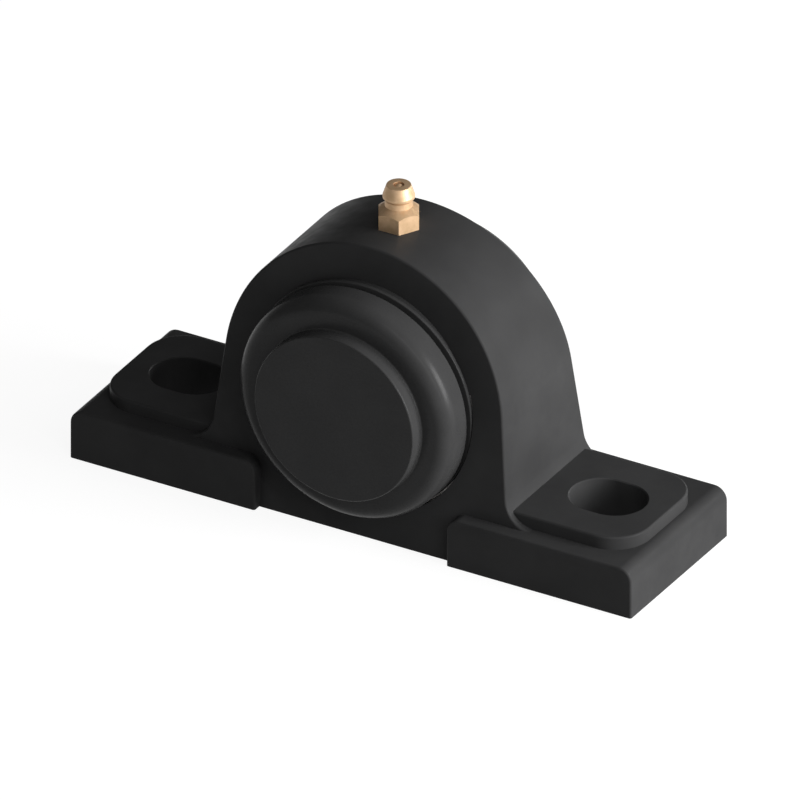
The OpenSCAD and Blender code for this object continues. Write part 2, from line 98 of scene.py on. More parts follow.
def lamp(name, low_end, high_end, width, watts):
    """A soft lamp from one end to the other, turned to the bearing."""
    low_end, high_end = Vector(low_end), Vector(high_end)
    light = bpy.data.lights.new(name, "AREA")
    light.shape = "RECTANGLE"
    light.size = width
    light.size_y = (high_end - low_end).length
    light.energy = watts
    along = (high_end - low_end).normalized()
    back = (low_end + high_end) / 2 - Vector(LIT_PLACE)
    back = (back - back.project(along)).normalized()
    holder = bpy.data.objects.new(name, light)
    turn = Matrix((along.cross(back), along, back)).transposed()
    holder.matrix_world = Matrix.Translation((low_end + high_end) / 2) @ turn.to_4x4()
    bpy.context.scene.collection.objects.link(holder)


room = bpy.data.worlds.new("room")
room.use_nodes = True
room_nodes, room_links = room.node_tree.nodes, room.node_tree.links
direction = room_nodes.new("ShaderNodeTexCoord")
toward = room_nodes.new("ShaderNodeVectorMath")
toward.operation = "DOT_PRODUCT"
toward.inputs[1].default_value = ROOM_SIDE
room_links.new(direction.outputs["Generated"], toward.inputs[0])
strength = room_nodes.new("ShaderNodeMapRange")
strength.interpolation_type = "SMOOTHSTEP"
strength.inputs["To Min"].default_value = ROOM_DIM
strength.inputs["To Max"].default_value = ROOM_BRIGHT
room_links.new(toward.outputs["Value"], strength.inputs["Value"])
room_nodes["Background"].inputs["Color"].default_value = WHITE
room_links.new(strength.outputs["Result"], room_nodes["Background"].inputs["Strength"])
bpy.context.scene.world = room

lamp("lamp_right", (0.70, 0.06, 0.05), (0.65, 0.06, 0.42), 0.34, 7.2)
lamp("lamp_front", (0.60, -0.28, 0.02), (0.10, -0.33, 0.60), 0.02, 0.7)
lamp("lamp_behind", (0.10, 0.60, 0.13), (0.40, 0.50, 0.16), 0.12, 1.0)

floor_mesh = bmesh.new()
bmesh.ops.create_grid(floor_mesh, x_segments=1, y_segments=1, size=FLOOR_SIZE / 2)
floor_data = bpy.data.meshes.new("floor")
floor_mesh.to_mesh(floor_data)
floor_mesh.free()
floor = bpy.data.objects.new("floor", floor_data)
bpy.context.scene.collection.objects.link(floor)
pale = bpy.data.materials.new("pale_floor")
pale.use_nodes = True
pale_nodes, pale_links = pale.node_tree.nodes, pale.node_tree.links
pale_shader = pale_nodes["Principled BSDF"]
pale_shader.inputs["Base Color"].default_value = FLOOR_PALE
pale_shader.inputs["Roughness"].default_value = 1.0
pale_shader.inputs["Specular IOR Level"].default_value = 0.0
pale_shader.inputs["Emission Color"].default_value = WHITE
lift = pale_nodes.new("ShaderNodeMapRange")
lift.inputs["To Max"].default_value = FLOOR_LIFT
pale_links.new(seen_directly(pale_nodes, pale_links), lift.inputs["Value"])
pale_links.new(lift.outputs["Result"], pale_shader.inputs["Emission Strength"])
floor.data.materials.append(pale)

# Housing: one iron casting, the arch that holds the bearing and two feet with pads for the bolts.
# It is cast in sand, so its outer edges are a little round. The seat and the mouths for the
# covers are turned, the base is milled, and all the rest is painted black.
MM = 0.001
AXIS_HEIGHT = 30.2
ARCH_RADIUS = 31.5
FLANK_SLOPE = 6
FLANK_FILLET = 6
ARCH_HALF_DEPTH = 17.1
FACE_LEAN = 0.1
FOOT_INNER = 21.7
FOOT_OUTER = 63.5
FOOT_HALF_DEPTH = 19
FOOT_HEIGHT = 10.8
FOOT_ROUNDING = 2.8
PAD_INNER = ARCH_RADIUS - 1
PAD_OUTER = 60.5
PAD_HALF_DEPTH = 14.4
PAD_HEIGHT = 13.6
PAD_CORNER = 8
BOLT_PLACE = 47.5
SLOT_HALF_WIDTH = 6.5
SLOT_HALF_STRAIGHT = 1.5
SLOT_EDGE = 0.2
CAST_EDGE = 0.45
SEAT_RADIUS = 23.53
SEAT_HALF_WIDTH = 9.5
SEAT_GROOVE_START = -1.5
SEAT_GROOVE_END = 5.7
SEAT_GROOVE_RADIUS = 24.3
MOUTH_RADIUS = 23.0
SNAP_GROOVE_NEAR = 11.45
SNAP_GROOVE_FAR = 12.55
SNAP_GROOVE_RADIUS = 23.4
SPOT_FACE_PLACE = 13.45
SPOT_FACE_RADIUS = 24.85
LAND_RADIUS = 24
LAND_REACH = SPOT_FACE_PLACE + 0.5
LOADING_HALF_HEIGHT = 8.75
LOADING_DEPTH = 10.5
POCKET_START = 12
POCKET_END = 28.5
POCKET_HALF_DEPTH = 11.5
POCKET_HEIGHT = 14
POCKET_CORNER = 3
SEAT_WALL_RADIUS = 29.5
FITTING_SPOT_HEIGHT = 61.6
FITTING_SPOT_RADIUS = 4.8
FITTING_HOLE_FLOOR = 56.0
FITTING_HOLE_RADIUS = 3.02
GREASE_PASSAGE_RADIUS = 1.5
PAINT_EDGE_RADIUS = 24.95
SPIN_STEPS = 144
SHARP_TURN = 38
NOISE_LOW = 0.35
NOISE_HIGH = 0.65
# SINK lets one form end inside another, OVER and CUT_CLEAR take a cutter past a face, and points
# that are nearer to each other than CLOSE become one.
SINK = 0.02
OVER = 1
CUT_CLEAR = 40
CLOSE = 0.001


def arc(centre, radius, start, end, steps):
    """Points on a round stretch from one angle to another, in degrees."""
    turns = [math.radians(start + (end - start) * step / steps) for step in range(steps + 1)]
    return [(centre[0] + radius * math.cos(turn), centre[1] + radius * math.sin(turn))
            for turn in turns]


def ball_arc(radius, start, end, steps):
    """Part of a ball's outline, from one place along the axis to another."""
    angles = [math.degrees(math.asin(place / radius)) for place in (start, end)]
    return arc((0, 0), radius, *angles, steps)


def eased(corners, steps):
    """An outline with each corner (u, v, radius) rounded. A corner (u, v) stays sharp."""
    outline = []
    for before, corner, after in zip(corners[-1:] + corners[:-1], corners, corners[1:] + corners[:1]):
        point = Vector(corner[:2])
        if len(corner) == 2:
            outline.append(tuple(point))
            continue
        back = (Vector(before[:2]) - point).normalized()
        ahead = (Vector(after[:2]) - point).normalized()
        half = back.angle(ahead) / 2
        centre = point + (back + ahead).normalized() * corner[2] / math.sin(half)
        start = point + back * corner[2] / math.tan(half) - centre
        end = point + ahead * corner[2] / math.tan(half) - centre
        first = math.degrees(math.atan2(start.y, start.x))
        sweep = math.degrees(math.atan2(end.y, end.x)) - first
        sweep = (sweep + 180) % 360 - 180
        outline += arc(centre, corner[2], first, first + sweep, steps)
    return outline


def add_wall(form, one, other):
    """Adds the faces between two closed rows of points. A row of one point is a tip."""
    for here in range(max(len(one), len(other))):
        after = here + 1
        corners = [one[here % len(one)], one[after % len(one)],
                   other[after % len(other)], other[here % len(other)]]
        corners = list(dict.fromkeys(corners))
        if len(corners) > 2:
            form.faces.new(corners)


def drawn_through(outline, place):
    """A solid of an outline drawn from one side, -1, to the other, 1. place gives each point."""
    form = bmesh.new()
    ends = [[form.verts.new(place(u, v, side)) for u, v in outline] for side in (-1, 1)]
    form.faces.new(ends[0])
    form.faces.new(list(reversed(ends[1])))
    add_wall(form, *ends)
    bmesh.ops.recalc_face_normals(form, faces=form.faces)
    return form


def upright_bar(outline, low, high):
    """A solid of an outline (x, y) from one height to another."""
    return drawn_through(outline, lambda x, y, side: (x, y, high if side > 0 else low))


def turned(profile, steps=SPIN_STEPS, upright=False):
    """A profile of (radius, place along the axis) turned once round the shaft's axis, or round Z."""
    form = bmesh.new()
    rows = []
    for radius, along in profile:
        ring = []
        for step in range(steps if radius else 1):
            turn = 2 * math.pi * step / steps
            u, v = radius * math.cos(turn), radius * math.sin(turn)
            ring.append(form.verts.new((u, v, along) if upright else (u, along, AXIS_HEIGHT + v)))
        rows.append(ring)
    for lower, upper in zip(rows, rows[1:] + rows[:1]):
        add_wall(form, lower, upper)
    bmesh.ops.recalc_face_normals(form, faces=form.faces)
    return form


def flipped(profile, side):
    """A profile drawn for the back of the bearing (1), or its mirror for the front (-1)."""
    return [(corner[0], side * corner[1], *corner[2:]) for corner in profile]


def rod(radius, low, high, steps=SPIN_STEPS, upright=False):
    """A plain cylinder from low to high, on the shaft's axis or upright."""
    return turned([(0, low), (radius, low), (radius, high), (0, high)], steps, upright)


def end_edges(form):
    """The edges of the two end faces of a form that was drawn through."""
    caps = sorted(form.faces, key=lambda face: len(face.verts))[-2:]
    return [edge for cap in caps for edge in cap.edges]


def ease_edges(form, edges, radius):
    """Rounds the given edges of a form."""
    bmesh.ops.bevel(form, geom=edges, offset=radius, segments=3, profile=0.5, affect="EDGES")
    return form


def holder_of(form):
    """An object that holds a form while it is worked on."""
    mesh = bpy.data.meshes.new("work")
    form.to_mesh(mesh)
    form.free()
    holder = bpy.data.objects.new("work", mesh)
    bpy.context.scene.collection.objects.link(holder)
    return holder


def worked(form, tool, step):
    """A form after one step with a tool: UNION adds it, DIFFERENCE cuts it out, and INTERSECT
    keeps what is inside both."""
    blank, cutter = holder_of(form), holder_of(tool)
    change = blank.modifiers.new("work", "BOOLEAN")
    change.operation = step
    change.solver = "EXACT"
    change.object = cutter
    bpy.context.view_layer.update()
    done = blank.evaluated_get(bpy.context.evaluated_depsgraph_get())
    result = bmesh.new()
    result.from_mesh(done.to_mesh())
    done.to_mesh_clear()
    bmesh.ops.remove_doubles(result, verts=result.verts, dist=CLOSE)
    bmesh.ops.dissolve_degenerate(result, edges=result.edges, dist=CLOSE)
    for holder in (blank, cutter):
        mesh = holder.data
        bpy.data.objects.remove(holder)
        bpy.data.meshes.remove(mesh)
    return result


def mirrored(form):
    """A copy of a form on the other side of the plane X = 0."""
    other = form.copy()
    bmesh.ops.scale(other, vec=(-1, 1, 1), verts=other.verts)
    bmesh.ops.reverse_faces(other, faces=other.faces)
    return other


def from_axis(point):
    """Distance of a point from the shaft's axis."""
    return math.hypot(point[0], point[2] - AXIS_HEIGHT)


def finished(form, name, body, nodes, finishes):
    """The visible piece of a form: smooth shading, its finish, its body and the nodes it shows."""
    for face in form.faces:
        face.smooth = True
    for edge in form.edges:
        joined = len(edge.link_faces) == 2
        edge.smooth = joined and edge.calc_face_angle() < math.radians(SHARP_TURN)
    bmesh.ops.scale(form, vec=(MM, MM, MM), verts=form.verts)
    mesh = bpy.data.meshes.new(name)
    form.to_mesh(mesh)
    form.free()
    for finish in finishes:
        mesh.materials.append(finish)
    piece = bpy.data.objects.new(name, mesh)
    bpy.context.scene.collection.objects.link(piece)
    piece.modifiers.new("flat faces stay flat", "WEIGHTED_NORMAL").keep_sharp = True
    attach(piece, body)
    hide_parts(*nodes)
    return piece


def arch_outline():
    """Arch seen from the front: round top, sloping flanks, and a fillet down to each foot."""
    slope = math.radians(FLANK_SLOPE)
    fillet_z = FOOT_HEIGHT + FLANK_FILLET
    reach = ARCH_RADIUS + FLANK_FILLET - (fillet_z - AXIS_HEIGHT) * math.sin(slope)
    fillet_x = reach / math.cos(slope)
    right = [(fillet_x, 0), (fillet_x, FOOT_HEIGHT - SINK)]
    right += arc((fillet_x, fillet_z), FLANK_FILLET, -90, FLANK_SLOPE - 180, 14)[1:]
    left = [(-x, z) for x, z in reversed(right)]
    return right + arc((0, AXIS_HEIGHT), ARCH_RADIUS, FLANK_SLOPE, 180 - FLANK_SLOPE, 90) + left


def arch_form():
    """The arch, drawn from front to back between two faces that lean in."""
    def place(x, z, side):
        return x, side * (ARCH_HALF_DEPTH - FACE_LEAN * z), z

    form = drawn_through(arch_outline(), place)
    rims = [edge for edge in end_edges(form)
            if min(vert.co.z for vert in edge.verts) > FOOT_HEIGHT - OVER]
    return ease_edges(form, rims, CAST_EDGE)


def foot_form():
    """The right foot: a bar with two round upper edges."""
    outline = eased([(FOOT_INNER, 0), (FOOT_OUTER, 0),
                     (FOOT_OUTER, FOOT_HEIGHT, FOOT_ROUNDING),
                     (FOOT_INNER, FOOT_HEIGHT, FOOT_ROUNDING)], 8)
    form = drawn_through(outline, lambda x, z, side: (x, side * FOOT_HALF_DEPTH, z))
    rims = [edge for edge in end_edges(form) if max(vert.co.z for vert in edge.verts) > CAST_EDGE]
    return ease_edges(form, rims, CAST_EDGE)


def pad_form():
    """The raised pad under the right bolt, with two round corners on its outer side."""
    outline = eased([(PAD_INNER, -PAD_HALF_DEPTH), (PAD_OUTER, -PAD_HALF_DEPTH, PAD_CORNER),
                     (PAD_OUTER, PAD_HALF_DEPTH, PAD_CORNER), (PAD_INNER, PAD_HALF_DEPTH)], 12)
    form = upright_bar(outline, OVER, PAD_HEIGHT)
    top = max(form.faces, key=lambda face: face.calc_center_median().z)
    return ease_edges(form, list(top.edges), CAST_EDGE)


def slot_cutter():
    """What is cut out for the right bolt: a slot whose upper edge is eased."""
    round_end = arc((BOLT_PLACE + SLOT_HALF_STRAIGHT, 0), SLOT_HALF_WIDTH, -90, 90, 24)
    other_end = arc((BOLT_PLACE - SLOT_HALF_STRAIGHT, 0), SLOT_HALF_WIDTH, 90, 270, 24)
    outline = round_end + other_end
    form = bmesh.new()
    levels = ((-OVER, 0), (PAD_HEIGHT - SLOT_EDGE, 0), (PAD_HEIGHT + OVER, SLOT_EDGE + OVER))
    rings = []
    for height, wider in levels:
        ring = []
        for x, y in outline:
            middle = BOLT_PLACE + math.copysign(SLOT_HALF_STRAIGHT, x - BOLT_PLACE)
            out = Vector((x - middle, y)).normalized() * wider
            ring.append(form.verts.new((x + out.x, y + out.y, height)))
        rings.append(ring)
    form.faces.new(rings[0])
    form.faces.new(list(reversed(rings[-1])))
    for lower, upper in zip(rings, rings[1:]):
        add_wall(form, lower, upper)
    bmesh.ops.recalc_face_normals(form, faces=form.faces)
    return form


def seat_cutter():
    """What is turned out of the middle: both covers' mouths, the round seat and its groove."""
    mouth = [
        (MOUTH_RADIUS, SEAT_HALF_WIDTH), (MOUTH_RADIUS, SNAP_GROOVE_NEAR),
        (SNAP_GROOVE_RADIUS, SNAP_GROOVE_NEAR), (SNAP_GROOVE_RADIUS, SNAP_GROOVE_FAR),
        (MOUTH_RADIUS, SNAP_GROOVE_FAR), (MOUTH_RADIUS, SPOT_FACE_PLACE),
        (SPOT_FACE_RADIUS, SPOT_FACE_PLACE), (SPOT_FACE_RADIUS, CUT_CLEAR), (0, CUT_CLEAR)]
    groove = [(SEAT_GROOVE_RADIUS, SEAT_GROOVE_START), (SEAT_GROOVE_RADIUS, SEAT_GROOVE_END)]
    front_seat = ball_arc(SEAT_RADIUS, -SEAT_HALF_WIDTH, SEAT_GROOVE_START, 10)
    rear_seat = ball_arc(SEAT_RADIUS, SEAT_GROOVE_END, SEAT_HALF_WIDTH, 10)
    return turned(flipped(mouth[::-1], -1) + front_seat + groove + rear_seat + mouth)


def loading_cutter():
    """The two side slots behind the seat, where the insert goes in on edge before it is turned."""
    wide = math.degrees(math.asin(LOADING_HALF_HEIGHT / SEAT_RADIUS))
    outline = arc((0, 0), SEAT_RADIUS, -wide, wide, 16)
    outline += arc((0, 0), SEAT_RADIUS, 180 - wide, 180 + wide, 16)
    return drawn_through(
        outline, lambda x, z, side: (x, LOADING_DEPTH if side > 0 else 0, AXIS_HEIGHT + z))


def pocket_cutter():
    """The cored pocket in the underside, on the right, outside an even wall round the seat."""
    outline = eased([(POCKET_START, -POCKET_HALF_DEPTH, POCKET_CORNER),
                     (POCKET_END, -POCKET_HALF_DEPTH, POCKET_CORNER),
                     (POCKET_END, POCKET_HALF_DEPTH, POCKET_CORNER),
                     (POCKET_START, POCKET_HALF_DEPTH, POCKET_CORNER)], 8)
    form = upright_bar(outline, -OVER, POCKET_HEIGHT)
    return worked(form, rod(SEAT_WALL_RADIUS, -CUT_CLEAR, CUT_CLEAR), "DIFFERENCE")


def grease_way_cutter():
    """What is drilled from the top: a flat for the fitting, its hole, and a passage to the seat."""
    return turned([
        (0, AXIS_HEIGHT), (GREASE_PASSAGE_RADIUS, AXIS_HEIGHT),
        (GREASE_PASSAGE_RADIUS, FITTING_HOLE_FLOOR), (FITTING_HOLE_RADIUS, FITTING_HOLE_FLOOR),
        (FITTING_HOLE_RADIUS, FITTING_SPOT_HEIGHT), (FITTING_SPOT_RADIUS, FITTING_SPOT_HEIGHT),
        (FITTING_SPOT_RADIUS, FITTING_SPOT_HEIGHT + CUT_CLEAR),
        (0, FITTING_SPOT_HEIGHT + CUT_CLEAR)], 48, upright=True)


def housing_form():
    """The casting: the arch with a round land on each face, the feet and their pads, and then
    what is cored, turned and drilled. Turned and milled faces stay bare, the second finish."""
    form = worked(arch_form(), rod(LAND_RADIUS, -LAND_REACH, LAND_REACH), "UNION")
    for part in (foot_form(), pad_form()):
        for side in (part, mirrored(part)):
            form = worked(form, side, "UNION")
    for cutter in (slot_cutter(), pocket_cutter()):
        for side in (cutter, mirrored(cutter)):
            form = worked(form, side, "DIFFERENCE")
    for cutter in (seat_cutter(), loading_cutter(), grease_way_cutter()):
        form = worked(form, cutter, "DIFFERENCE")
    for face in form.faces:
        turned_face = all(from_axis(vert.co) < PAINT_EDGE_RADIUS for vert in face.verts)
        land_wall = all(abs(from_axis(vert.co) - LAND_RADIUS) < 10 * CLOSE for vert in face.verts)
        milled_face = all(vert.co.z < CAST_EDGE / 10 for vert in face.verts)
        bare = milled_face or (turned_face and not land_wall)
        face.material_index = int(bare)
    return form


def new_finish(name):
    """An empty finish: its material, and the shader that its colour and relief go into."""
    material = bpy.data.materials.new(name)
    material.use_nodes = True
    return material, material.node_tree.nodes["Principled BSDF"]


def grain(material, size, detail=3.0, stretch=(1, 1, 1)):
    """Noise whose lumps are size mm across. stretch makes them longer along an axis."""
    nodes, links = material.node_tree.nodes, material.node_tree.links
    place = nodes.new("ShaderNodeTexCoord")
    scale = nodes.new("ShaderNodeMapping")
    scale.inputs["Scale"].default_value = [1 / (size * MM * share) for share in stretch]
    noise = nodes.new("ShaderNodeTexNoise")
    noise.inputs["Scale"].default_value = 1.0
    noise.inputs["Detail"].default_value = detail
    links.new(place.outputs["Object"], scale.inputs["Vector"])
    links.new(scale.outputs["Vector"], noise.inputs["Vector"])
    return noise.outputs["Fac"]


def vary(material, shader, socket, source, low, high):
    """Lets a number of the shader go from low to high where the noise does."""
    nodes, links = material.node_tree.nodes, material.node_tree.links
    spread = nodes.new("ShaderNodeMapRange")
    spread.inputs["From Min"].default_value = NOISE_LOW
    spread.inputs["From Max"].default_value = NOISE_HIGH
    spread.inputs["To Min"].default_value = low
    spread.inputs["To Max"].default_value = high
    links.new(source, spread.inputs["Value"])
    links.new(spread.outputs["Result"], shader.inputs[socket])


def tint(material, shader, source, dark, light):
    """Lets the base colour go from dark to light where the noise does."""
    nodes, links = material.node_tree.nodes, material.node_tree.links
    ramp = nodes.new("ShaderNodeValToRGB")
    ramp.color_ramp.elements[0].position = NOISE_LOW
    ramp.color_ramp.elements[0].color = (*dark, 1.0)
    ramp.color_ramp.elements[1].position = NOISE_HIGH
    ramp.color_ramp.elements[1].color = (*light, 1.0)
    links.new(source, ramp.inputs["Fac"])
    links.new(ramp.outputs["Color"], shader.inputs["Base Color"])


def relief(material, shader, *layers):
    """Raises the surface by the sum of noises, each (source, height in mm)."""
    nodes, links = material.node_tree.nodes, material.node_tree.links
    below = None
    for source, height in layers:
        bump = nodes.new("ShaderNodeBump")
        bump.inputs["Distance"].default_value = height * MM
        links.new(source, bump.inputs["Height"])
        if below:
            links.new(below, bump.inputs["Normal"])
        below = bump.outputs["Normal"]
    links.new(below, shader.inputs["Normal"])


def black_casting_paint():
    """Satin black paint over sand-cast iron: the skin of the casting shows faintly through it."""
    paint, shader = new_finish("black_casting_paint")
    shader.inputs["Specular IOR Level"].default_value = 0.05
    tint(paint, shader, grain(paint, 14), (0.037, 0.037, 0.0375), (0.045, 0.045, 0.0455))
    vary(paint, shader, "Roughness", grain(paint, 2.6), 0.40, 0.50)
    relief(paint, shader, (grain(paint, 1.1), 0.010), (grain(paint, 3.8, 1.0), 0.014))
    return paint


def turned_iron():
    """Bare iron as the lathe leaves it, with fine lines round the shaft's axis."""
    iron, shader = new_finish("turned_iron")
    shader.inputs["Metallic"].default_value = 1.0
    tint(iron, shader, grain(iron, 3), (0.30, 0.29, 0.28), (0.38, 0.37, 0.36))
    vary(iron, shader, "Roughness", grain(iron, 0.5), 0.32, 0.48)
    relief(iron, shader, (grain(iron, 0.3, 2.0, (30, 1, 30)), 0.004))
    return iron


finished(housing_form(), "housing_casting", "housing", ["housing"],
         [black_casting_paint(), turned_iron()])

# Outer ring: bearing steel, hardened and ground. Its outside is part of a ball, so the whole
# insert can tilt in the seat. A groove and two holes let grease in from the housing.
PITCH_RADIUS = 17
BALL_RADIUS = 3.969
RACE_PLAY = 0.05
OUTER_GROOVE = 0.525 * 2 * BALL_RADIUS
OUTER_SHOULDER = 19.7
INSERT_RADIUS = 23.5
RING_HALF_WIDTH = 8.5
SEAL_GROOVE_NEAR = 6.1
SEAL_GROOVE_FAR = 7.25
SEAL_GROOVE_RADIUS = 20.7
SLINGER_MOUTH_RADIUS = 20.2
GREASE_GROOVE_START = 3.6
GREASE_GROOVE_END = 5.6
GREASE_GROOVE_RADIUS = 22.45
GREASE_HOLE_RADIUS = 0.75
GREASE_HOLE_ANGLES = (90, 270)
PIN_RADIUS = 0.75
PIN_PLACE = 6.3
PIN_LOW_END = 21.42
PIN_HIGH_END = 23.4
HOLE_PLAY = 0.02
GROUND_EDGE = 0.18


def race(centre, radius, shoulder):
    """The round track for the balls, where a ring's profile is cut between its two shoulders."""
    outward = shoulder > centre
    half = math.degrees(math.acos(abs(shoulder - centre) / radius))
    middle, turn = (0, half) if outward else (180, -half)
    return arc((centre, 0), radius, middle - turn, middle + turn, 20)


def set_out(form, along, angle):
    """Turns an upright form so that it points away from the shaft's axis, at an angle round it."""
    turn = Matrix.Rotation(math.radians(90 - angle), 4, "Y")
    place = Matrix.Translation((0, along, AXIS_HEIGHT))
    bmesh.ops.transform(form, matrix=place @ turn, verts=form.verts)
    return form


def outer_ring_form():
    """The ring's profile turned once round, with its grease holes and the hole for its pin."""
    side = [
        (OUTER_SHOULDER, SEAL_GROOVE_NEAR, GROUND_EDGE), (SEAL_GROOVE_RADIUS, SEAL_GROOVE_NEAR),
        (SEAL_GROOVE_RADIUS, SEAL_GROOVE_FAR), (SLINGER_MOUTH_RADIUS, SEAL_GROOVE_FAR),
        (SLINGER_MOUTH_RADIUS, RING_HALF_WIDTH, GROUND_EDGE)]
    centre = PITCH_RADIUS + BALL_RADIUS + RACE_PLAY - OUTER_GROOVE
    inside = flipped(side[::-1], -1) + race(centre, OUTER_GROOVE, OUTER_SHOULDER) + side
    back_face = ball_arc(INSERT_RADIUS, RING_HALF_WIDTH, GREASE_GROOVE_END, 16)
    front_face = ball_arc(INSERT_RADIUS, GREASE_GROOVE_START, -RING_HALF_WIDTH, 16)
    back_face[0] += (GROUND_EDGE,)
    front_face[-1] += (GROUND_EDGE,)
    groove = [(GREASE_GROOVE_RADIUS, GREASE_GROOVE_END), (GREASE_GROOVE_RADIUS, GREASE_GROOVE_START)]
    form = turned(eased(inside + back_face + groove + front_face, 3))
    for angle in GREASE_HOLE_ANGLES:
        drill = rod(GREASE_HOLE_RADIUS, OUTER_SHOULDER - OVER, CUT_CLEAR, 32, upright=True)
        drill = set_out(drill, (GREASE_GROOVE_START + GREASE_GROOVE_END) / 2, angle)
        form = worked(form, drill, "DIFFERENCE")
    drill = rod(PIN_RADIUS + HOLE_PLAY, PIN_LOW_END, CUT_CLEAR, 32, upright=True)
    return worked(form, set_out(drill, PIN_PLACE, 0), "DIFFERENCE")


def ground_steel():
    """Hardened bearing steel, ground: fine marks run round the axis."""
    steel, shader = new_finish("ground_steel")
    shader.inputs["Metallic"].default_value = 1.0
    tint(steel, shader, grain(steel, 6), (0.50, 0.51, 0.53), (0.60, 0.61, 0.63))
    vary(steel, shader, "Roughness", grain(steel, 0.8, 4.0, (20, 1, 20)), 0.20, 0.32)
    relief(steel, shader, (grain(steel, 0.12, 2.0, (60, 1, 60)), 0.002))
    return steel


GROUND_STEEL = ground_steel()
finished(outer_ring_form(), "insert_outer_ring", "outer_race", ["outer_ring"],
         [GROUND_STEEL])

# Locating pin: a small hard pin pressed into the outer ring on its right side. Its end stands in a
# loading slot of the seat, so the ring can tilt but can't turn with the shaft.
pin_form = turned(eased([(0, PIN_LOW_END), (PIN_RADIUS, PIN_LOW_END, 0.1),
                         (PIN_RADIUS, PIN_HIGH_END, 0.3), (0, PIN_HIGH_END)], 3), 32, upright=True)
finished(set_out(pin_form, PIN_PLACE, 0), "insert_locating_pin", "outer_race", ["locating_pin"],
         [GROUND_STEEL])

# Balls: eight of them, hardened steel, lapped to a mirror. The solids of the frame are true
# spheres and stay, each on its own body, and get their finish here.
BALL_COUNT = 8


def lapped_steel():
    """Ball steel with a mirror finish and the faintest clouding."""
    steel, shader = new_finish("lapped_steel")
    shader.inputs["Metallic"].default_value = 1.0
    tint(steel, shader, grain(steel, 2), (0.64, 0.65, 0.67), (0.72, 0.73, 0.75))
    vary(steel, shader, "Roughness", grain(steel, 0.6), 0.05, 0.11)
    relief(steel, shader, (grain(steel, 0.9), 0.001))
    return steel


def repaint(node, finish):
    """Gives a solid of the frame its finish."""
    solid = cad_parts[node]
    solid.data.materials.clear()
    solid.data.materials.append(finish)


LAPPED_STEEL = lapped_steel()
for number in range(1, BALL_COUNT + 1):
    repaint(f"ball_{number}", LAPPED_STEEL)

# Cage: two rings pressed from steel strip, with a round pocket over each ball, laid face to face
# and riveted between the pockets. It keeps the eight balls apart.
CAGE_INNER_RADIUS = 15.3
CAGE_OUTER_RADIUS = 18.7
CAGE_SHEET = 0.6
POCKET_PLAY = 0.1
RIVET_RADIUS = 0.55
RIVET_HEAD_RADIUS = 0.95
RIVET_HEAD_HEIGHT = 0.35
BALL_STEP = 360 // BALL_COUNT
FIRST_BALL = 90
ACROSS_STEPS = 6
POCKET_STEPS = 24
FLAT_STEPS = 4
DOME_STEPS = 6


def pressed_row(radius, ball_radius, flat):
    """Angle and height along one round line of a pressed face: pocket, then flat strip, by turns."""
    edge = math.sqrt(ball_radius ** 2 - flat ** 2)
    cosine = (radius ** 2 + PITCH_RADIUS ** 2 - edge ** 2) / (2 * radius * PITCH_RADIUS)
    pocket_half = math.degrees(math.acos(cosine))
    between = BALL_STEP - 2 * pocket_half
    row = []
    for ball in range(BALL_COUNT):
        middle = FIRST_BALL + ball * BALL_STEP
        for step in range(POCKET_STEPS):
            angle = pocket_half * (2 * step / POCKET_STEPS - 1)
            away = math.sqrt(radius ** 2 + PITCH_RADIUS ** 2
                             - 2 * radius * PITCH_RADIUS * math.cos(math.radians(angle)))
            row.append((middle + angle, max(flat, math.sqrt(max(0, ball_radius ** 2 - away ** 2)))))
        row += [(middle + pocket_half + between * step / FLAT_STEPS, flat)
                for step in range(FLAT_STEPS)]
    return row


def cage_half_form(side):
    """One pressed half, on the front (-1) or the back (1): an inner and an outer face, joined."""
    pocket = BALL_RADIUS + POCKET_PLAY
    form = bmesh.new()
    faces = []
    for ball_radius, flat in ((pocket, 0), (pocket + CAGE_SHEET, CAGE_SHEET)):
        rows = []
        for step in range(ACROSS_STEPS + 1):
            radius = CAGE_INNER_RADIUS + (CAGE_OUTER_RADIUS - CAGE_INNER_RADIUS) * step / ACROSS_STEPS
            rows.append([
                form.verts.new((radius * math.cos(math.radians(angle)), side * height,
                                AXIS_HEIGHT + radius * math.sin(math.radians(angle))))
                for angle, height in pressed_row(radius, ball_radius, flat)])
        faces.append(rows)
    near, far = faces
    strips = list(zip(near, near[1:])) + list(zip(far, far[1:]))
    strips += [(near[0], far[0]), (near[-1], far[-1])]
    for one, other in strips:
        add_wall(form, one, other)
    bmesh.ops.recalc_face_normals(form, faces=form.faces)
    return form


def around_the_balls(make):
    """One form of like pieces, set halfway between the balls."""
    whole = bmesh.new()
    for ball in range(BALL_COUNT):
        angle = math.radians(FIRST_BALL + BALL_STEP / 2 + ball * BALL_STEP)
        part = make()
        place = Vector((PITCH_RADIUS * math.cos(angle), 0, PITCH_RADIUS * math.sin(angle)))
        bmesh.ops.translate(part, vec=place, verts=part.verts)
        mesh = bpy.data.meshes.new("work")
        part.to_mesh(mesh)
        part.free()
        whole.from_mesh(mesh)
        bpy.data.meshes.remove(mesh)
    return whole


def rivet_form():
    """A rivet with a round head at each end, on the shaft's axis."""
    turns = [math.radians(90 * step / DOME_STEPS) for step in range(DOME_STEPS)]
    half = [(RIVET_RADIUS, CAGE_SHEET)]
    half += [(RIVET_HEAD_RADIUS * math.cos(turn), CAGE_SHEET + RIVET_HEAD_HEIGHT * math.sin(turn))
             for turn in turns]
    half += [(0, CAGE_SHEET + RIVET_HEAD_HEIGHT)]
    return turned(flipped(half[::-1], -1) + half, 24)


